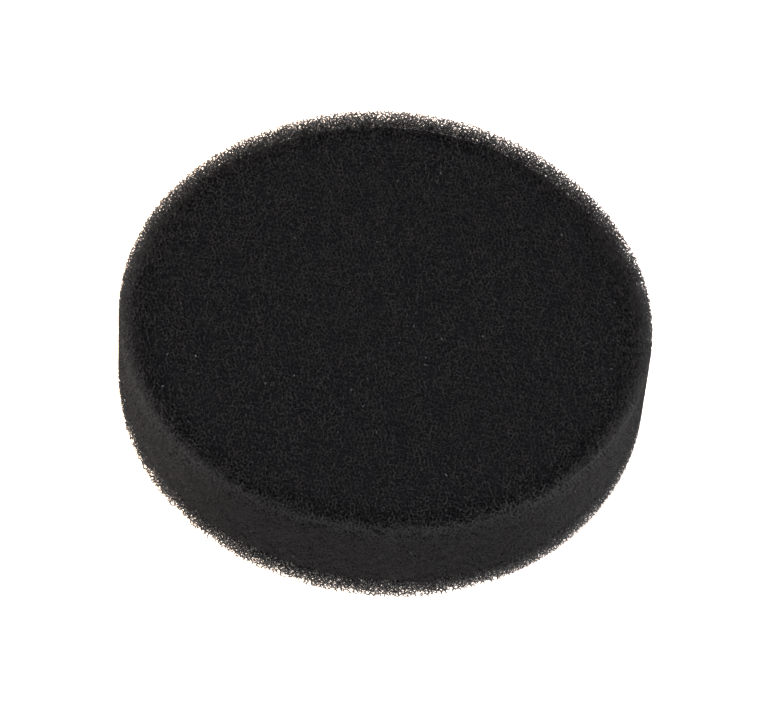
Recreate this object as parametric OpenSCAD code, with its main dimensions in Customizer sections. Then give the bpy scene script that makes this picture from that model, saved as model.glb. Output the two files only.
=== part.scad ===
// Foam polishing pad: a round block of open-cell foam on a hook-and-loop backing.
// The pad lies on its loops. +Z points out of the working face, and the origin is
// the centre of the loop side, where the pad meets a machine's hook plate.

/* [Foam] */
// Diameter of the foam block
foam_d = 150; // [80:1:200]
// Thickness of the foam block
foam_t = 32; // [15:0.5:50]

/* [Backing] */
// How far the backing's edge stays inside the foam's edge, all round
backing_inset = 6; // [0:0.5:12]
// Thickness of the hot-melt adhesive film
film_t = 0.2; // [0.1:0.05:0.5]
// Thickness of the knitted backing cloth, without its loops
cloth_t = 0.5; // [0.3:0.1:1]
// Height of the raised loops below the backing cloth
pile_t = 1.3; // [0.6:0.1:2.5]

/* [Hidden] */

// Diameter of the film, the cloth and the field of loops
backing_d = foam_d - 2 * backing_inset;

// Heights of the faces where one layer is bonded to the next
cloth_z = pile_t;
film_z = cloth_z + cloth_t;
foam_z = film_z + film_t;

// Sides of a drawn circle
round_fn = 180;

// One flat round layer of the laminate, standing on height z
module layer(d, t, z) {
    translate([0, 0, z])
        cylinder(d = d, h = t, $fn = round_fn);
}

// The open-cell foam block: one piece, square-edged, with no centre hole.
// Its top is the working face.
module foam_disc() {
    color([0.05, 0.05, 0.055])
        layer(foam_d, foam_t, foam_z);
}

// The film that bonds the cloth to the foam
module adhesive_film() {
    color([0.16, 0.15, 0.14])
        layer(backing_d, film_t, film_z);
}

// The knitted ground cloth that carries the loops
module backing_cloth() {
    color([0.09, 0.09, 0.095])
        layer(backing_d, cloth_t, cloth_z);
}

// The space that the raised loops fill. They grip the hook plate.
module loop_pile() {
    color([0.12, 0.12, 0.125])
        layer(backing_d, pile_t, 0);
}

foam_disc();
adhesive_film();
backing_cloth();
loop_pile();
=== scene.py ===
"""A round foam polishing pad, foam side up, on a lit white table.

The foam is built as real open-cell foam: a thin skin of cells with every strut modelled, over a dark
core that stands for the cells too deep to see. Lengths are in metres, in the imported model's frame.
"""

import itertools
import math

import bmesh
import bpy
import numpy as np
from mathutils import Euler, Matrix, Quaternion, Vector


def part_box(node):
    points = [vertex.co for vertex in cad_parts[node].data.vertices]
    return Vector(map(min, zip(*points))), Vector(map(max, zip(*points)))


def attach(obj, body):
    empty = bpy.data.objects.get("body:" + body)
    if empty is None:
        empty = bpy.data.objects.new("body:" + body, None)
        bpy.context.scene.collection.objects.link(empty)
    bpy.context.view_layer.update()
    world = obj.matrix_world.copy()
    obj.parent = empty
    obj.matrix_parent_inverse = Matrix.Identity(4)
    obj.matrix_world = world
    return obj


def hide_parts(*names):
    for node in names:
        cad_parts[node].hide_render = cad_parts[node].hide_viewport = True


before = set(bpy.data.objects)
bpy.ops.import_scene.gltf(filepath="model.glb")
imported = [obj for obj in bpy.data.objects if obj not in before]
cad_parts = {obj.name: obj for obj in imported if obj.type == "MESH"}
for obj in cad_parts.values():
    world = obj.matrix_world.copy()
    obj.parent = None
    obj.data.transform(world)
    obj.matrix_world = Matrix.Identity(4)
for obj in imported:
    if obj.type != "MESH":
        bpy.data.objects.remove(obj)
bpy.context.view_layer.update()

MM = 0.001
TINY = 1e-9  # forgives rounding, and keeps a division from failing

# The foam block and the backing under it, as packed
foam_low, foam_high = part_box("foam_disc")
film_low, film_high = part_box("adhesive_film")
cloth_low, cloth_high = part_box("backing_cloth")
FOAM_R = (foam_high.x - foam_low.x) / 2
FOAM_MID = (foam_low.z + foam_high.z) / 2
BACKING_R = (cloth_high.x - cloth_low.x) / 2

# How the block strays from a true disc: lobes round its edge, each (how many, height, direction in
# degrees), and its top and bottom faces' shifts to one side
LOBES = ((2, 0.51 * MM, -17), (3, 0.17 * MM, -52), (4, 0.10 * MM, 13), (5, 0.15 * MM, 8))
TOP_SHIFT = np.array((-0.31, -0.32)) * MM
BOTTOM_SHIFT = np.array((-0.28, -0.42)) * MM

# Foam cells
CELL_PITCH = 1.25 * MM  # between the centres of cells in one row
CELL_JITTER = 0.3  # how far a cell's centre strays from its row, in pitches
STRUT_REACH = 0.0935 * MM  # from the middle of a joint of struts to its corners
STRUT_VARIATION = 0.2  # share by which joints differ in size
CELL_VARIATION = 0.3  # share by which the struts' corners differ from cell to cell
CELL_SEED = 21
CUT_DEPTH = 0.11 * MM  # how unevenly the blade cuts the struts
CELL_TILT = Euler((0.41, 0.27, 0.63))  # turns the rows of cells away from the faces
ROW_WAVES = 3  # how many waves bend the rows of cells
ROW_WAVE = 0.34 * MM  # how far each of them does
ROW_WAVE_LENGTH = 10 * MM
ROUND_A_CELL = 11  # square of how far off a cell's 50 neighbours may be, in half pitches
NEXT_TO_A_CELL = 8  # the same for the neighbours that it may share a joint of struts with
JOINT_REACH = 0.9 * CELL_PITCH  # how far a joint may be from the centres of its cells
BATCH = 4000  # about how many cells are worked on at a time, to spare memory
SHORTEST_END = 0.02  # least share of a strut that is left when its end is cut off
SECTORS = 24  # the skin of cells is split into this many slices

RIM_PAINTED_GLOW = 2.5  # how many times paler the struts are painted at the rims: a painted highlight for the light that catches the cut edges and shines through them
RIM_GLOW_WIDTH = 4.4 * MM  # how far in from a rim that goes, along a flat face
RIM_GLOW_SLOWER = 0.55  # how fast it fades along the wall, as a share of how fast along a flat face

# Pale specks on the struts: partly dust, partly painted glints of light on strut facets
DUST_AND_GLINT_GAP = 4 * MM  # between places where a speck may lie
DUST_AND_GLINT_R = 0.35 * MM
DUST_AND_GLINT_SHARE = 0.2  # share of those places that have one

# The lit table, and the painted shadow of the pad on it: a dark patch under the pad, a little to the
# right and to the front
TABLE_R = 4.0
TABLE_GLOW = 1.35  # how brightly it is lit from inside
TABLE_GREY = 0.25  # share of other light that it sends back
SHADE_CENTRE = (10.4 * MM, -6.0 * MM, 0)
SHADE_R = 62 * MM
SHADE_SOFT = 2.5 * MM  # half the width of its soft edge
SHADE_GLOW = 0.1  # share of the table's light that is left in it

# The camera, which looks steeply down at the pad from the side that the photograph shows
CAMERA_RISE = math.radians(53.13)  # above the table
CAMERA_ROLL = math.radians(4.66)
CAMERA_DISTANCE = 1.3169  # from the middle of the foam
AIM_BELOW = 3.03 * MM  # how far below the middle of the foam it aims, across the view
LENS, SENSOR_WIDTH = 216.7, 36  # both in millimetres, as Blender takes them

# The camera's tone curve, as (light, shown) pairs: it deepens the half-tones
TONE = ((0, 0), (0.03, 0.03), (0.12, 0.07), (0.3, 0.17), (0.5, 0.34), (0.7, 0.58), (0.85, 0.8), (1, 1))

# The dark core inside the skin of cells
SKIN = 0.78 * MM  # depth of the modelled cells under the faces
RIM_CUT = 6.5 * MM  # how far in from an edge the core's steep chamfer would meet the face
RIM_ANGLE = math.radians(51)  # slope of the steep chamfer
EASE_CUT = 10 * MM  # how far in from an edge a gentler chamfer leads on to the core's flat face
EASE_ANGLE = math.radians(22)  # slope of the gentler chamfer
GLUED_R = BACKING_R - 3 * MM  # inside this radius the backing hides the foam's underside
GLUED_GAP = 0.2 * MM  # between that underside and the core
GLUED_STEP = 1 * MM  # how far out from there the core rises to its own underside
CORE_STEPS = 180  # round the core's edge
CORE_VOXEL = 1.0 * MM  # size of the core's faces
PIT_DEPTH = 0.5 * MM  # depth of the pits in the core
PIT_MIDDLE = 0.8  # share of that depth that lies below the core's faces
CORE_CLEARANCE = 0.02 * MM  # least height of the core above the foam's underside

# The backing
BACKING_SEED = 5
BACKING_STEPS = 240  # round the film's and the cloth's edges
EDGE_WAVE = 0.2 * MM  # how far the backing's cut edges stray from a true circle
EDGE_WAVES = ((7, 1.0), (19, 0.6))  # those waves, each (how many, height as a share)
EDGE_FADE = 8  # the higher this is, the closer to the edge they stay
FILM_RINGS, FILM_SWELL = 12, 0.03 * MM  # rings of faces, and how uneven they are
CLOTH_RINGS, CLOTH_SWELL = 24, 0.04 * MM
SWELL_X, SWELL_Y = 4 * MM, 5 * MM  # one radian of the swells

# The pile of yarn loops
LOOP_SEED = 8
LOOP_PIECES = 3
LOOP_ROW = 1.5 * MM  # between rows of loops
LOOP_STEP = 1.7 * MM  # between the loops of one row
LOOP_STRAY = 0.25  # how far a loop strays from its place, in steps
LOOP_WIDTH = 0.9 * MM  # between a loop's two feet
LOOP_WIDTHS = 0.8, 1.2  # least and greatest width, as shares
LOOP_HEIGHTS = 0.78, 1.0  # least and greatest height, as shares
LOOP_TURN = math.radians(35)  # how much the loops differ in heading
LOOP_LEAN = math.radians(14)  # how much they lean to a side
LOOP_SKEW = 0.25  # how much they lean forward, in half widths
LOOP_BULGE = 0.45  # how much a loop widens above its feet
LOOP_BLUNT = 0.8  # below 1, this makes a loop's end blunter than a half circle
LOOP_SINK = 0.12 * MM  # how far its feet sink into the cloth
FOOT_FADE = 8  # the higher this is, the closer to the feet the sinking stays
LOOP_BENDS = 9  # places where a loop's yarn bends
YARN_SIDES = 5
YARN_R = 0.12 * MM  # radius of the loops' yarn

# Colours, as shares of red, green and blue light
STRUT_DARK, STRUT_PALE = (0.0247, 0.0239, 0.0253), (0.0327, 0.0317, 0.0337)
# The core's colour at its cells' edges, and the painted shade in their middles
CORE_EDGE, CORE_PIT_SHADE = (0.0236, 0.0224, 0.0236), (0.0152, 0.0146, 0.0155)
DUST_AND_GLINT_GREY = (0.5, 0.5, 0.5)
GLUE_DARK, GLUE_PALE = (0.018, 0.018, 0.019), (0.04, 0.039, 0.038)
KNIT_DARK, KNIT_PALE = (0.008, 0.008, 0.009), (0.045, 0.044, 0.046)
YARN_DARK, YARN_PALE = (0.02, 0.02, 0.022), (0.06, 0.058, 0.06)
# The table's glow from its left edge to its right, painted warmer on the left for warm light from that
# side
TABLE_LIT_LEFT, TABLE_LIT_RIGHT = (1.0, 0.87, 0.76), (0.97, 0.91, 0.88)
LEFT_LIGHT, FRONT_LIGHT, RIGHT_LIGHT = (1.0, 0.89, 0.78), (1.0, 1.0, 1.0), (1.0, 0.93, 0.90)

# The light of the tent round the table, as (height, colour) stops: 0 is level, 1 is straight up
TENT = (
    (0.05, (1.0, 1.0, 1.0)),
    (0.1, (0.45, 0.43, 0.44)),
    (0.25, (0.4, 0.385, 0.405)),
    (0.8, (0.115, 0.142, 0.185)),
)


# ---------------------------------------------------------------- foam cells


def as_cut(points):
    """Foam points moved from a true disc to the block as it was cut, a little out of round."""
    x, y, z = points.T
    turn = np.arctan2(y, x)
    bulge = sum(high * np.cos(count * (turn - math.radians(at))) for count, high, at in LOBES)
    grown = 1 + bulge * np.hypot(x, y) / FOAM_R**2
    height = (z - foam_low.z) / (foam_high.z - foam_low.z)
    shift = np.outer(height, TOP_SHIFT) + np.outer(1 - height, BOTTOM_SHIFT)
    return np.column_stack([x * grown + shift[:, 0], y * grown + shift[:, 1], z])


def depth_in_foam(p):
    """How far points are inside the foam block's faces; negative outside."""
    to_wall = FOAM_R - np.hypot(p[..., 0], p[..., 1])
    to_top = foam_high.z - p[..., 2]
    to_bottom = p[..., 2] - foam_low.z
    return np.minimum(to_wall, np.minimum(to_top, to_bottom))


def depth_in_core(p):
    """How far points are inside the core, which is chamfered so that light passes through both rims."""
    to_wall = FOAM_R - np.hypot(p[..., 0], p[..., 1])
    glued = to_wall > FOAM_R - GLUED_R
    to_top = foam_high.z - p[..., 2]
    to_bottom = p[..., 2] - foam_low.z + np.where(glued, SKIN, 0)
    to_face = np.minimum(to_top, to_bottom)
    run, rise = math.sin(RIM_ANGLE), math.cos(RIM_ANGLE)
    to_chamfer = to_wall * run + to_face * rise - RIM_CUT * run
    run, rise = math.sin(EASE_ANGLE), math.cos(EASE_ANGLE)
    to_ease = (to_wall - EASE_CUT) * run + (to_face - SKIN) * rise
    return np.minimum(np.minimum(to_wall, to_face) - SKIN, np.minimum(to_chamfer, to_ease))


def bent(points, rng):
    """Points moved by a few long waves, so that no straight row of cells can be seen through a rim."""
    for _ in range(ROW_WAVES):
        along, shift = rng.normal(size=(2, 3))
        along /= np.linalg.norm(along)
        shift /= np.linalg.norm(shift)
        wave = np.sin(points @ along * math.tau / ROW_WAVE_LENGTH + rng.uniform(0, math.tau))
        points = points + ROW_WAVE * wave[:, None] * shift
    return points


def cell_centres(rng):
    """Centres of the foam cells near the skin, as jittered rows, and each one's whole-number place."""
    turn = np.array(CELL_TILT.to_matrix())
    spare = 3 * CELL_PITCH  # more than the waves and the jitter can move a cell
    half = np.array([FOAM_R, FOAM_R, (foam_high.z - foam_low.z) / 2]) + spare
    steps = np.ceil(np.abs(turn.T) @ half / (CELL_PITCH / 2)).astype(int) + 2
    places = []
    for parity in (0, 1):
        axes = [np.arange(-2 * (n // 2) + parity, n + 1, 2) for n in steps]
        places.append(np.stack(np.meshgrid(*axes, indexing="ij"), -1).reshape(-1, 3))
    place = np.concatenate(places)
    centre = bent(place * (CELL_PITCH / 2) @ turn.T + np.array([0, 0, FOAM_MID]), rng)
    margin = 2.1 * CELL_PITCH  # reaches every neighbour of a cell that has joints in the skin
    near = (depth_in_foam(centre) > -margin) & (depth_in_core(centre) < margin)
    place, centre = place[near], centre[near]
    stray = CELL_JITTER * CELL_PITCH
    return place, centre + rng.uniform(-stray, stray, centre.shape)


def neighbour_steps():
    """The whole-number steps, in half pitches, from a cell to the 50 cells round it."""
    steps = [
        s
        for s in itertools.product(range(-3, 4), repeat=3)
        if len({c % 2 for c in s}) == 1 and 0 < sum(c * c for c in s) <= ROUND_A_CELL
    ]
    return np.array(steps)


def cell_joints(place, centre):
    """Every point where four cells meet: its place and its four cells.

    It is the point as far from each of the four centres and nearer to no other. Each is looked for from
    one of its cells only, the one whose place comes first in order.
    """
    steps = neighbour_steps()
    low = place.min(0) - steps.max() - 1
    span = place.max(0) - low + steps.max() + 2

    def code(p):
        """A whole number for each place, a different one for any two places."""
        p = p - low
        return (p[..., 0] * span[1] + p[..., 1]) * span[2] + p[..., 2]

    order = np.argsort(code(place))
    place, centre = place[order], centre[order]
    codes = code(place)
    offsets = code(low + steps)
    at = np.searchsorted(codes, codes[:, None] + offsets)
    at = np.minimum(at, len(codes) - 1)
    found = codes[at] == codes[:, None] + offsets

    # Cells with all their neighbours, near enough to the skin to have joints in it
    margin = 0.75 * CELL_PITCH
    owners = found.all(1) & (depth_in_foam(centre) > -margin) & (depth_in_core(centre) < margin)
    owners = np.flatnonzero(owners)

    # Each cell is tried with every three of the neighbours that come after it in order
    later = np.flatnonzero((offsets > 0) & ((steps**2).sum(1) <= NEXT_TO_A_CELL))
    pairs = list(itertools.combinations(range(len(later)), 2))
    pair_at = {p: i for i, p in enumerate(pairs)}
    first, second = np.array(pairs).T
    triples = np.array(list(itertools.combinations(range(len(later)), 3)))
    i, j, k = triples.T
    ij, ik, jk = (np.array([pair_at[p] for p in zip(a, b)]) for a, b in ((i, j), (i, k), (j, k)))
    flat = 1e-15  # a volume too small to divide by
    joints, cells = [], []
    for own in np.array_split(owners, max(1, len(owners) // BATCH)):
        away = centre[at[own]] - centre[own][:, None]
        half_square = (away**2).sum(-1) / 2
        v, q = away[:, later], half_square[:, later]

        # The point as far from the cell as from all three, by Cramer's rule
        crossed = np.cross(v[:, first], v[:, second])
        volume = (v[:, i] * crossed[:, jk]).sum(-1)
        volume = np.where(np.abs(volume) < flat, flat, volume)[..., None]
        point = q[:, i, None] * crossed[:, jk] - q[:, j, None] * crossed[:, ik]
        point = (point + q[:, k, None] * crossed[:, ij]) / volume

        # It is a joint if no other neighbour is nearer to it
        cell, triple = np.nonzero((point**2).sum(-1) < JOINT_REACH**2)
        point = point[cell, triple]
        along = np.einsum("nkc,nc->nk", away[cell], point)
        alone = (along <= half_square[cell] * (1 + TINY)).all(1)
        cell, triple, point = cell[alone], triple[alone], point[alone]
        joints.append(centre[own[cell]] + point)
        near = at[own[cell]][:, later]
        others = np.take_along_axis(near, triples[triple], 1)
        cells.append(np.column_stack([own[cell], others]))
    return np.concatenate(joints), np.concatenate(cells), centre


# The three cells round the strut that runs away from each of a joint's four cells
ROUND_STRUT = np.array([(1, 2, 3), (0, 2, 3), (0, 1, 3), (0, 1, 2)])


def strut_partners(cells):
    """For each joint and each of its four struts, the same strut's number at its other end, or -1.

    A strut's number is 4 times its joint's number, plus which of the joint's cells it runs away from.
    Two joints share a strut where they share three cells.
    """
    count = cells.max() + 1
    three = np.sort(cells[:, ROUND_STRUT], axis=2).reshape(-1, 3)
    code = (three[:, 0] * count + three[:, 1]) * count + three[:, 2]
    order = np.argsort(code, kind="stable")
    run = code[order]
    same = np.concatenate([[False], run[1:] == run[:-1], [False]])
    first = np.flatnonzero(same[1:-1] & ~same[:-2] & ~same[2:])
    partner = np.full(len(code), -1)
    partner[order[first]] = order[first + 1]
    partner[order[first + 1]] = order[first]
    return partner


def foam_skin(rng):
    """The joints and struts of the cells between the foam's faces and its core, as a dict of arrays."""
    joint, cells, centre = cell_joints(*cell_centres(rng))
    towards = centre[cells] - joint[:, None]
    towards /= np.linalg.norm(towards, axis=2, keepdims=True)
    size = STRUT_REACH * rng.uniform(1 - STRUT_VARIATION, 1 + STRUT_VARIATION, len(joint))
    swell = rng.uniform(1 - CELL_VARIATION, 1 + CELL_VARIATION, len(centre))[cells]
    depth = depth_in_foam(joint)
    kept = (depth > CUT_DEPTH / 2) & (depth_in_core(joint) < 0)
    angle = np.arctan2(joint[:, 1], joint[:, 0]) / math.tau % 1
    return {
        "joint": joint,
        "cells": cells,
        "corner": joint[:, None] + (size[:, None] * swell)[..., None] * towards,
        "partner": strut_partners(cells),
        "kept": kept,
        "depth": depth,
        "sector": np.floor(angle * SECTORS).astype(int),
        "cut": rng.uniform(0, CUT_DEPTH, len(joint)),
    }


def side_faces(near, far, turned):
    """The three long faces of each strut, from its three points at either end."""
    faces = [
        np.stack([near[:, a], near[:, b], far[:, b], far[:, a]], 1)
        for a, b in ((0, 1), (1, 2), (2, 0))
    ]
    faces = np.stack(faces, 1)
    return np.where(turned[:, None, None], faces[:, :, ::-1], faces).reshape(-1, 4)


def sector_mesh(skin, sector):
    """Points, four-sided faces and three-sided faces of one slice of the skin.

    The slice is closed: each strut that is cut off has a cap.
    """
    joint, cells, corner = skin["joint"], skin["cells"], skin["corner"]
    mine = np.flatnonzero(skin["kept"] & (skin["sector"] == sector))
    number = np.full(len(joint), -1)
    number[mine] = np.arange(len(mine))
    strut = (mine[:, None] * 4 + np.arange(4)).ravel()
    here, away = strut // 4, strut % 4
    partner = skin["partner"][strut]
    there = np.maximum(partner, 0) // 4
    round_here = ROUND_STRUT[away]
    round_there = ROUND_STRUT[np.maximum(partner, 0) % 4]
    cells_here = cells[here[:, None], round_here]
    cells_there = cells[there[:, None], round_there]
    match = (cells_here[:, :, None] == cells_there[:, None, :]).argmax(2)
    round_there = np.take_along_axis(round_there, match, 1)
    near = number[here][:, None] * 4 + round_here
    near_at = corner[here[:, None], round_here]
    far_at = corner[there[:, None], round_there]
    normal = np.cross(near_at[:, 1] - near_at[:, 0], near_at[:, 2] - near_at[:, 0])
    turned = (normal * (joint[here] - corner[here, away])).sum(1) < 0

    joined = (partner >= 0) & (number[there] >= 0)
    whole = joined & (strut < partner)
    far = number[there][:, None] * 4 + round_there
    quads = [side_faces(near[whole], far[whole], turned[whole])]

    # A strut that leaves the slice ends halfway, at the cut face, or inside the core
    cut = (partner >= 0) & ~joined
    share = np.ones((cut.sum(), 3))
    share[skin["kept"][there[cut]]] = 0.5
    leaves = skin["depth"][there[cut]] <= CUT_DEPTH / 2
    blade = np.where(here < there, skin["cut"][here], skin["cut"][there])[cut][:, None]
    near_depth = depth_in_foam(near_at[cut]) - blade
    far_depth = depth_in_foam(far_at[cut]) - blade
    crossing = near_depth / np.maximum(near_depth - far_depth, TINY)
    share[leaves] = np.clip(crossing, SHORTEST_END, 1)[leaves]
    end_at = near_at[cut] + (far_at[cut] - near_at[cut]) * share[..., None]
    end = len(mine) * 4 + np.arange(end_at.shape[0] * 3).reshape(-1, 3)
    quads.append(side_faces(near[cut], end, turned[cut]))

    caps = [np.where(turned[cut][:, None], end[:, ::-1], end)]
    bare = partner < 0
    caps.append(np.where(turned[bare][:, None], near[bare][:, ::-1], near[bare]))
    points = np.concatenate([corner[mine].reshape(-1, 3), end_at.reshape(-1, 3)])
    return as_cut(points), np.concatenate(quads), np.concatenate(caps)


def mesh_object(name, points, quads, triangles):
    """A new smooth-shaded object from arrays of points and faces."""
    mesh = bpy.data.meshes.new(name)
    mesh.vertices.add(len(points))
    mesh.vertices.foreach_set("co", points.astype(np.float32).ravel())
    loops = np.concatenate([quads.ravel(), triangles.ravel()]).astype(np.int32)
    mesh.loops.add(len(loops))
    mesh.loops.foreach_set("vertex_index", loops)
    starts = np.arange(len(quads)) * 4, len(quads) * 4 + np.arange(len(triangles)) * 3
    starts = np.concatenate(starts).astype(np.int32)
    mesh.polygons.add(len(starts))
    mesh.polygons.foreach_set("loop_start", starts)
    mesh.polygons.foreach_set("use_smooth", np.full(len(starts), True))
    mesh.update(calc_edges=True)
    mesh.validate()
    piece = bpy.data.objects.new(name, mesh)
    bpy.context.scene.collection.objects.link(piece)
    return piece


def make_foam_cells():
    """The skin of open cells, one piece for each slice."""
    skin = foam_skin(np.random.default_rng(CELL_SEED))
    return [
        mesh_object(f"foam_cells_{n + 1:02d}", *sector_mesh(skin, n)) for n in range(SECTORS)
    ]


# ---------------------------------------------------------------- foam core


def make_foam_core():
    """The closed dark body inside the skin of cells, pitted at the size of the cells."""
    steep, gentle = math.tan(RIM_ANGLE), math.tan(EASE_ANGLE)
    drop = (RIM_CUT - SKIN) * steep
    bend_in = (RIM_CUT * steep - SKIN - EASE_CUT * gentle) / (steep - gentle)
    bend_down = (RIM_CUT - bend_in) * steep
    glued_z = foam_low.z + GLUED_GAP
    glued_end = GLUED_R + GLUED_STEP
    profile = [
        (0, glued_z),
        (GLUED_R, glued_z),
        (glued_end, foam_low.z + SKIN + (EASE_CUT - FOAM_R + glued_end) * gentle),
        (FOAM_R - bend_in, foam_low.z + bend_down),
        (FOAM_R - SKIN, foam_low.z + drop),
        (FOAM_R - SKIN, foam_high.z - drop),
        (FOAM_R - bend_in, foam_high.z - bend_down),
        (FOAM_R - EASE_CUT, foam_high.z - SKIN),
        (0, foam_high.z - SKIN),
    ]
    core = turned_object("foam_core", profile, CORE_STEPS)
    even = core.modifiers.new("even", "REMESH")
    even.mode = "VOXEL"
    even.voxel_size = CORE_VOXEL
    even.use_smooth_shade = True
    pits = bpy.data.textures.new("pits", "VORONOI")
    pits.noise_scale = CELL_PITCH
    pitted = core.modifiers.new("pitted", "DISPLACE")
    pitted.texture = pits
    pitted.texture_coords = "LOCAL"
    pitted.strength = PIT_DEPTH
    pitted.mid_level = PIT_MIDDLE
    apply_modifiers(core)
    points = np.array([v.co for v in core.data.vertices])
    points[:, 2] = np.maximum(points[:, 2], foam_low.z + CORE_CLEARANCE)
    core.data.vertices.foreach_set("co", as_cut(points).astype(np.float32).ravel())
    return core


def turned_object(name, profile, steps):
    """A closed body turned from (radius, height) points that start and end on the axis."""
    mesh = bmesh.new()
    points = [mesh.verts.new((r, 0, z)) for r, z in profile]
    edges = [mesh.edges.new(pair) for pair in zip(points, points[1:])]
    bmesh.ops.spin(
        mesh, geom=points + edges, cent=(0, 0, 0), axis=(0, 0, 1), angle=math.tau, steps=steps
    )
    bmesh.ops.remove_doubles(mesh, verts=mesh.verts, dist=1e-6)
    bmesh.ops.recalc_face_normals(mesh, faces=mesh.faces)
    data = bpy.data.meshes.new(name)
    mesh.to_mesh(data)
    mesh.free()
    piece = bpy.data.objects.new(name, data)
    bpy.context.scene.collection.objects.link(piece)
    return piece


def apply_modifiers(piece):
    """Replaces a piece's mesh by the one that its modifiers make."""
    seen = piece.evaluated_get(bpy.context.evaluated_depsgraph_get())
    made = bpy.data.meshes.new_from_object(seen)
    piece.modifiers.clear()
    piece.data = made


# ---------------------------------------------------------------- backing


def backing_disc(name, low, high, rings, relief, rng):
    """A thin disc with a wandering cut edge and a slight swell in both faces."""
    edge = (high - low) / 2
    radii = list(np.linspace(0, BACKING_R - edge, rings))
    profile = [(r, high) for r in radii] + [(BACKING_R, high - edge)]
    profile += [(r, low) for r in reversed(radii)]
    disc = turned_object(name, profile, BACKING_STEPS)
    turns = rng.uniform(0, math.tau, 3)
    highest = sum(height for _, height in EDGE_WAVES)
    for vertex in disc.data.vertices:
        x, y, z = vertex.co
        turn = math.atan2(y, x)
        share = math.hypot(x, y) / BACKING_R
        at_edge = share**EDGE_FADE
        waves = zip(EDGE_WAVES, turns)
        wave = sum(height * math.sin(count * turn + start) for (count, height), start in waves)
        grown = 1 + (EDGE_WAVE * wave / highest - EDGE_WAVE) * at_edge / BACKING_R
        swell = relief * math.sin(x / SWELL_X + turns[2]) * math.sin(y / SWELL_Y + turns[0])
        inward = -1 if z > (low + high) / 2 else 1
        vertex.co = (x * grown, y * grown, z + inward * (relief + swell) * (1 - at_edge))
    for face in disc.data.polygons:
        face.use_smooth = True
    return disc


def loop_places(rng):
    """Where each loop of the pile stands, in staggered rows that wander a little."""
    reach = BACKING_R - LOOP_WIDTH
    rows = np.arange(-reach, reach, LOOP_ROW)
    places = []
    for number, y in enumerate(rows):
        start = -reach + (number % 2) * LOOP_STEP / 2
        x = np.arange(start, reach, LOOP_STEP)
        places.append(np.column_stack([x, np.full(len(x), y)]))
    places = np.concatenate(places)
    places += rng.uniform(-LOOP_STRAY, LOOP_STRAY, places.shape) * LOOP_STEP
    return places[np.hypot(*places.T) < reach]


def loop_mesh(places, rng):
    """Points and faces of yarn loops that hang from the cloth: each a bent tube with closed ends."""
    bends, sides = LOOP_BENDS, YARN_SIDES
    count = len(places)
    phi = np.linspace(0, math.pi, bends)
    high = (cloth_low.z - YARN_R) * rng.uniform(*LOOP_HEIGHTS, count)
    wide = LOOP_WIDTH * rng.uniform(*LOOP_WIDTHS, count)
    turn = rng.normal(0, LOOP_TURN, count)
    lean = rng.normal(0, LOOP_LEAN, count)
    skew = rng.normal(0, LOOP_SKEW, count)
    out = np.cos(phi) * (1 + LOOP_BULGE * np.sin(phi)) / 2
    along = wide[:, None] * (out + skew[:, None] * np.sin(phi) / 2)
    down = high[:, None] * np.sin(phi) ** LOOP_BLUNT
    side = down * np.sin(lean)[:, None]
    heading = np.stack([np.cos(turn), np.sin(turn)], -1)
    across = np.stack([-np.sin(turn), np.cos(turn)], -1)
    flat = places[:, None] + along[..., None] * heading[:, None] + side[..., None] * across[:, None]
    z = cloth_low.z + LOOP_SINK * np.cos(phi) ** FOOT_FADE - down * np.cos(lean)[:, None]
    path = np.concatenate([flat, z[..., None]], -1)
    ahead = np.gradient(path, axis=1)
    ahead /= np.linalg.norm(ahead, axis=2, keepdims=True)
    level = np.concatenate([across, np.zeros((count, 1))], 1)[:, None]
    first = np.cross(ahead, level)
    first /= np.linalg.norm(first, axis=2, keepdims=True)
    second = np.cross(ahead, first)
    spin = np.arange(sides) * math.tau / sides
    ring = np.cos(spin)[:, None] * first[:, :, None] + np.sin(spin)[:, None] * second[:, :, None]
    points = (path[:, :, None] + YARN_R * ring).reshape(-1, 3)
    points[:, 2] = np.maximum(points[:, 2], 0)

    bend, corner = np.meshgrid(np.arange(bends - 1), np.arange(sides), indexing="ij")
    beside = (corner + 1) % sides
    quad = np.stack(
        [
            bend * sides + corner,
            bend * sides + beside,
            (bend + 1) * sides + beside,
            (bend + 1) * sides + corner,
        ],
        -1,
    ).reshape(-1, 4)
    fan = np.array([(0, k + 1, k) for k in range(1, sides - 1)])
    last = fan[:, ::-1] + (bends - 1) * sides
    base = np.arange(count)[:, None, None] * bends * sides
    quads = (base + quad).reshape(-1, 4)
    caps = (base + np.concatenate([fan, last])).reshape(-1, 3)
    return points, quads, caps


def make_loops():
    """The loop pile, in pieces that lie side by side and hold as many loops each."""
    rng = np.random.default_rng(LOOP_SEED)
    places = loop_places(rng)
    places = places[np.argsort(places[:, 0], kind="stable")]
    return [
        mesh_object(f"yarn_loops_{n + 1}", *loop_mesh(part, rng))
        for n, part in enumerate(np.array_split(places, LOOP_PIECES))
    ]


# ---------------------------------------------------------------- materials


def new_material(name):
    """A material and its node tree, with the Principled shader it starts with."""
    made = bpy.data.materials.new(name)
    made.use_nodes = True
    tree = made.node_tree
    return made, tree, tree.nodes["Principled BSDF"]


def noise(tree, scale):
    """Noise in the object's own space, with scale in patches per metre."""
    where = tree.nodes.new("ShaderNodeTexCoord")
    made = tree.nodes.new("ShaderNodeTexNoise")
    made.inputs["Scale"].default_value = scale
    made.inputs["Detail"].default_value = 3.0
    made.inputs["Roughness"].default_value = 0.55
    tree.links.new(where.outputs["Object"], made.inputs["Vector"])
    return made.outputs["Fac"]


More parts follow.
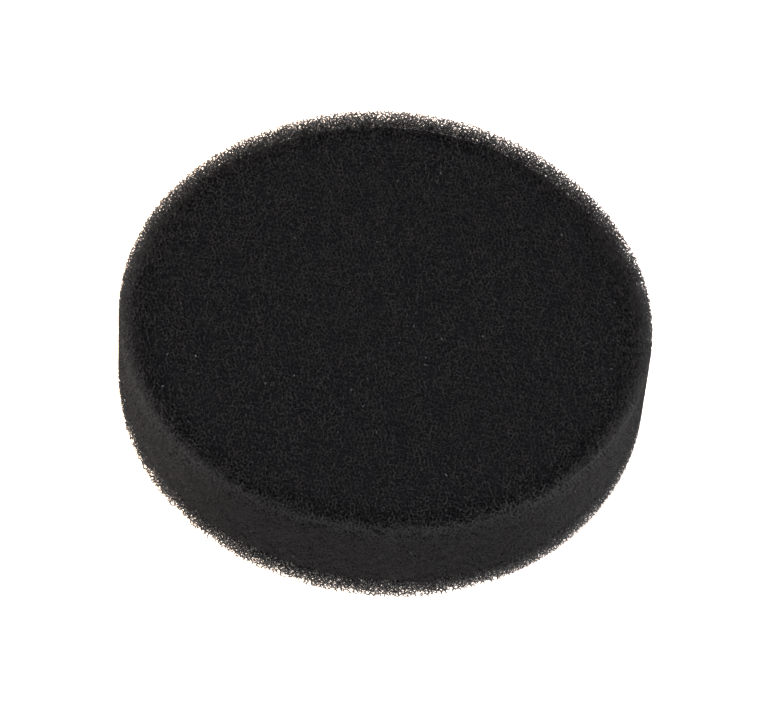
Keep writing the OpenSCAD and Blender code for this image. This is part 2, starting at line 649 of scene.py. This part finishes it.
def ramp(tree, value, *stops):
    """A colour for each value, from (place, colour) stops."""
    made = tree.nodes.new("ShaderNodeValToRGB")
    tree.links.new(value, made.inputs["Fac"])
    elements = made.color_ramp.elements
    while len(elements) < len(stops):
        elements.new(0.5)
    for element, (place, colour) in zip(elements, stops):
        element.position = place
        element.color = (*colour, 1)
    return made.outputs["Color"]


def spread(tree, value, low, high):
    """A value from 0 to 1, moved to run from low to high."""
    made = tree.nodes.new("ShaderNodeMapRange")
    made.inputs["To Min"].default_value = low
    made.inputs["To Max"].default_value = high
    tree.links.new(value, made.inputs["Value"])
    return made.outputs["Result"]


def bump(tree, shader, height, distance):
    """Fine relief on a shader, distance deep."""
    made = tree.nodes.new("ShaderNodeBump")
    made.inputs["Distance"].default_value = distance
    tree.links.new(height, made.inputs["Height"])
    tree.links.new(made.outputs["Normal"], shader.inputs["Normal"])


def strut_material():
    """Black polyurethane struts: slightly uneven, softly shining, painted paler at the rims as a painted
    highlight, with pale specks here and there that are partly dust and partly painted glints.
    """
    made, tree, shader = new_material("foam_struts")
    colour = ramp(tree, noise(tree, scale=260), (0.3, STRUT_DARK), (0.7, STRUT_PALE))
    # Painted highlight: the struts are painted paler towards both rims, for light that catches the cut
    # edges and shines through the rims
    colour = scaled(tree, colour, spread(tree, painted_rim_glow_share(tree), low=1.0, high=RIM_PAINTED_GLOW))
    # Pale grey specks, partly dust and partly painted glints of light on strut facets
    where = tree.nodes.new("ShaderNodeTexCoord")
    speck_cells = tree.nodes.new("ShaderNodeTexVoronoi")
    speck_cells.inputs["Scale"].default_value = 1 / DUST_AND_GLINT_GAP
    tree.links.new(where.outputs["Object"], speck_cells.inputs["Vector"])
    near = worked_out(tree, "LESS_THAN", speck_cells.outputs["Distance"], DUST_AND_GLINT_R / DUST_AND_GLINT_GAP)
    picked = tree.nodes.new("ShaderNodeSeparateColor")
    tree.links.new(speck_cells.outputs["Color"], picked.inputs["Color"])
    few = worked_out(tree, "GREATER_THAN", picked.outputs["Red"], 1 - DUST_AND_GLINT_SHARE)
    dust_and_glints = worked_out(tree, "MULTIPLY", near, few)
    tree.links.new(mixed(tree, dust_and_glints, colour, DUST_AND_GLINT_GREY), shader.inputs["Base Color"])
    roughness = spread(tree, noise(tree, scale=1500), low=0.42, high=0.72)
    tree.links.new(roughness, shader.inputs["Roughness"])
    shader.inputs["Specular IOR Level"].default_value = 0.1
    return made


def painted_rim_glow_share(tree):
    """Share of the painted rim highlight: 1 at the block's two rims, falling to 0 over the highlight's
    width on a flat face, and slower on the wall.
    """
    where = tree.nodes.new("ShaderNodeTexCoord")
    parts = tree.nodes.new("ShaderNodeSeparateXYZ")
    tree.links.new(where.outputs["Object"], parts.inputs["Vector"])
    across = tree.nodes.new("ShaderNodeCombineXYZ")
    tree.links.new(parts.outputs["X"], across.inputs["X"])
    tree.links.new(parts.outputs["Y"], across.inputs["Y"])
    radius = tree.nodes.new("ShaderNodeVectorMath")
    radius.operation = "LENGTH"
    tree.links.new(across.outputs["Vector"], radius.inputs[0])
    above_mid = worked_out(tree, "SUBTRACT", parts.outputs["Z"], FOAM_MID)
    from_mid = worked_out(tree, "ABSOLUTE", above_mid, 0)
    from_mid = worked_out(tree, "MULTIPLY", from_mid, RIM_GLOW_SLOWER)
    reached = worked_out(tree, "ADD", radius.outputs["Value"], from_mid)
    made = tree.nodes.new("ShaderNodeMapRange")
    rim = FOAM_R + RIM_GLOW_SLOWER * (foam_high.z - FOAM_MID)
    made.inputs["From Min"].default_value = rim - RIM_GLOW_WIDTH
    made.inputs["From Max"].default_value = rim
    tree.links.new(reached, made.inputs["Value"])
    return made.outputs["Result"]


def scaled(tree, colour, factor):
    """A colour made lighter or darker by a factor."""
    made = tree.nodes.new("ShaderNodeVectorMath")
    made.operation = "SCALE"
    tree.links.new(colour, made.inputs[0])
    tree.links.new(factor, made.inputs["Scale"])
    return made.outputs["Vector"]


def worked_out(tree, how, value, other):
    """One value worked out from a value and a number or a second value."""
    made = tree.nodes.new("ShaderNodeMath")
    made.operation = how
    tree.links.new(value, made.inputs[0])
    if isinstance(other, (int, float)):
        made.inputs[1].default_value = other
    else:
        tree.links.new(other, made.inputs[1])
    return made.outputs["Value"]


def mixed(tree, share, colour, other):
    """A colour that goes over to another by a share."""
    made = tree.nodes.new("ShaderNodeMix")
    made.data_type = "RGBA"
    tree.links.new(share, made.inputs["Factor"])
    tree.links.new(colour, made.inputs["A"])
    made.inputs["B"].default_value = (*other, 1)
    return made.outputs["Result"]


def core_material():
    """Cells too deep to see into: nearly black, with the cell pattern in relief and in colour, as
    painted shade that darkens the middle of each cell.
    """
    made, tree, shader = new_material("foam_depth")
    where = tree.nodes.new("ShaderNodeTexCoord")
    cells = tree.nodes.new("ShaderNodeTexVoronoi")
    cells.feature = "DISTANCE_TO_EDGE"
    cells.inputs["Scale"].default_value = 1 / CELL_PITCH
    tree.links.new(where.outputs["Object"], cells.inputs["Vector"])
    edges = cells.outputs["Distance"]
    # Painted shade: each cell's middle, its pit, is darker than its edges
    colour = ramp(tree, edges, (0.0, CORE_EDGE), (0.2, CORE_PIT_SHADE))
    tree.links.new(colour, shader.inputs["Base Color"])
    shader.inputs["Specular IOR Level"].default_value = 0.1
    roughness = spread(tree, noise(tree, scale=900), low=0.8, high=1.0)
    tree.links.new(roughness, shader.inputs["Roughness"])
    bump(tree, shader, edges, distance=0.3 * MM)
    return made


def film_material():
    """Hot-melt glue: a thin, dark, slightly uneven plastic."""
    made, tree, shader = new_material("melt_glue")
    uneven = noise(tree, scale=350)
    colour = ramp(tree, uneven, (0.3, GLUE_DARK), (0.7, GLUE_PALE))
    tree.links.new(colour, shader.inputs["Base Color"])
    roughness = spread(tree, noise(tree, scale=1200), low=0.25, high=0.5)
    tree.links.new(roughness, shader.inputs["Roughness"])
    bump(tree, shader, uneven, distance=0.1 * MM)
    return made


def ribs(tree, direction, pitch):
    """Fine parallel ribs across a direction; at scale 1 the wave node's own are tau / 20 apart."""
    where = tree.nodes.new("ShaderNodeTexCoord")
    made = tree.nodes.new("ShaderNodeTexWave")
    made.bands_direction = direction
    made.inputs["Scale"].default_value = math.tau / 20 / pitch
    made.inputs["Distortion"].default_value = 1.5
    made.inputs["Detail Scale"].default_value = 2.0
    tree.links.new(where.outputs["Object"], made.inputs["Vector"])
    return made.outputs["Fac"]


def cloth_material():
    """Black ribbed knit."""
    made, tree, shader = new_material("ribbed_knit")
    rows, columns = ribs(tree, "X", pitch=0.9 * MM), ribs(tree, "Y", pitch=0.6 * MM)
    knit = worked_out(tree, "MULTIPLY", rows, columns)
    colour = ramp(tree, knit, (0.0, KNIT_DARK), (0.8, KNIT_PALE))
    tree.links.new(colour, shader.inputs["Base Color"])
    roughness = spread(tree, noise(tree, scale=2000), low=0.7, high=0.95)
    tree.links.new(roughness, shader.inputs["Roughness"])
    bump(tree, shader, knit, distance=0.15 * MM)
    return made


def yarn_material():
    """Black nylon yarn of many filaments."""
    made, tree, shader = new_material("nylon_yarn")
    colour = ramp(tree, noise(tree, scale=500), (0.3, YARN_DARK), (0.7, YARN_PALE))
    tree.links.new(colour, shader.inputs["Base Color"])
    roughness = spread(tree, noise(tree, scale=3000), low=0.4, high=0.7)
    tree.links.new(roughness, shader.inputs["Roughness"])
    bump(tree, shader, noise(tree, scale=9000), distance=0.03 * MM)
    return made


# ---------------------------------------------------------------- stage


def make_floor():
    """A white table lit from inside, as small products are photographed, with the pad's shadow painted
    darker under it.
    """
    mesh = bmesh.new()
    bmesh.ops.create_circle(mesh, cap_ends=True, segments=96, radius=TABLE_R)
    data = bpy.data.meshes.new("table")
    mesh.to_mesh(data)
    mesh.free()
    floor = bpy.data.objects.new("table", data)
    bpy.context.scene.collection.objects.link(floor)
    made, tree, shader = new_material("table_white")
    where = tree.nodes.new("ShaderNodeTexCoord").outputs["Object"]
    aside = tree.nodes.new("ShaderNodeSeparateXYZ")
    tree.links.new(where, aside.inputs["Vector"])
    share = tree.nodes.new("ShaderNodeMapRange")
    share.inputs["From Min"].default_value = -FOAM_R
    share.inputs["From Max"].default_value = FOAM_R
    tree.links.new(aside.outputs["X"], share.inputs["Value"])
    # Painted warm light from the left: the table's glow is warmer on its left
    painted_warm_light = ramp(tree, share.outputs["Result"], (0.0, TABLE_LIT_LEFT), (1.0, TABLE_LIT_RIGHT))
    # Painted shadow: the table's glow is dimmed in a soft circle under the pad
    from_shade = tree.nodes.new("ShaderNodeVectorMath")
    from_shade.operation = "DISTANCE"
    from_shade.inputs[1].default_value = SHADE_CENTRE
    tree.links.new(where, from_shade.inputs[0])
    lit = tree.nodes.new("ShaderNodeMapRange")
    lit.inputs["From Min"].default_value = SHADE_R - SHADE_SOFT
    lit.inputs["From Max"].default_value = SHADE_R + SHADE_SOFT
    lit.inputs["To Min"].default_value = SHADE_GLOW
    tree.links.new(from_shade.outputs["Value"], lit.inputs["Value"])
    tree.links.new(scaled(tree, painted_warm_light, lit.outputs["Result"]), shader.inputs["Emission Color"])
    shader.inputs["Emission Strength"].default_value = TABLE_GLOW
    shader.inputs["Base Color"].default_value = (TABLE_GREY, TABLE_GREY, TABLE_GREY, 1)
    shader.inputs["Roughness"].default_value = 0.9
    data.materials.append(made)


def make_light():
    """A pale tent, bright low down and dimmer overhead, with soft panels in front and on either side."""
    world = bpy.data.worlds.new("tent")
    bpy.context.scene.world = world
    world.use_nodes = True
    tree = world.node_tree
    back = tree.nodes["Background"]
    where = tree.nodes.new("ShaderNodeTexCoord")
    parts = tree.nodes.new("ShaderNodeSeparateXYZ")
    tree.links.new(where.outputs["Generated"], parts.inputs["Vector"])
    tree.links.new(ramp(tree, parts.outputs["Z"], *TENT), back.inputs["Color"])
    make_panel("front", place=(0.0, -1.0, 0.72), size=(1.0, 0.6), watts=6.6, colour=FRONT_LIGHT)
    make_panel("left", place=(-0.9, 0.5, 0.1), size=(0.4, 0.16), watts=34.0, colour=LEFT_LIGHT)
    make_panel("right", place=(0.9, 0.5, 0.1), size=(0.4, 0.16), watts=26.0, colour=RIGHT_LIGHT)


def make_panel(name, place, size, watts, colour):
    """A soft panel of light that faces the pad."""
    lamp = bpy.data.lights.new(f"panel_{name}", "AREA")
    lamp.shape = "RECTANGLE"
    lamp.size, lamp.size_y = size
    lamp.energy = watts
    lamp.color = colour
    panel = bpy.data.objects.new(lamp.name, lamp)
    panel.location = place
    aim = Vector((0, 0, FOAM_MID)) - panel.location
    panel.rotation_euler = aim.to_track_quat("-Z", "Y").to_euler()
    bpy.context.scene.collection.objects.link(panel)


def make_camera():
    """Aims the camera at the pad, with a slight roll."""
    back = Vector((0, -math.cos(CAMERA_RISE), math.sin(CAMERA_RISE)))
    up = Vector((0, math.sin(CAMERA_RISE), math.cos(CAMERA_RISE)))
    data = bpy.data.cameras.new("camera")
    data.lens = LENS
    data.sensor_width = SENSOR_WIDTH
    data.clip_start, data.clip_end = 0.05, 20
    camera = bpy.data.objects.new("camera", data)
    camera.location = Vector((0, 0, FOAM_MID)) + back * CAMERA_DISTANCE - up * AIM_BELOW
    camera.rotation_mode = "QUATERNION"
    camera.rotation_quaternion = Quaternion(back, CAMERA_ROLL) @ back.to_track_quat("Z", "Y")
    bpy.context.scene.collection.objects.link(camera)
    bpy.context.scene.camera = camera


def set_tone():
    """Shows the light through the tone curve, with its two ends left as they are."""
    view = bpy.context.scene.view_settings
    view.view_transform = "Standard"
    view.look = "None"
    view.use_curve_mapping = True
    tone = view.curve_mapping.curves[3]  # the curve that works on all three colours
    for light, shown in TONE[1:-1]:
        tone.points.new(light, shown)
    for point in tone.points:
        point.handle_type = "AUTO_CLAMPED"
    view.curve_mapping.update()


# ---------------------------------------------------------------- assembly


def put_in(piece, material, node):
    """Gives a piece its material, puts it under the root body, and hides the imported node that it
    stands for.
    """
    piece.data.materials.append(material)
    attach(piece, "root")
    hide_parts(node)


make_camera()
make_light()
make_floor()

struts = strut_material()
for cells in make_foam_cells():
    put_in(cells, struts, "foam_disc")

core = make_foam_core()
put_in(core, core_material(), "foam_disc")

rng = np.random.default_rng(BACKING_SEED)
film = backing_disc("glue_film", film_low.z, film_high.z, FILM_RINGS, FILM_SWELL, rng)
put_in(film, film_material(), "adhesive_film")

cloth = backing_disc("knit_cloth_disc", cloth_low.z, cloth_high.z, CLOTH_RINGS, CLOTH_SWELL, rng)
put_in(cloth, cloth_material(), "backing_cloth")

yarn = yarn_material()
loops = make_loops()
for piece in loops:
    put_in(piece, yarn, "loop_pile")

set_tone()
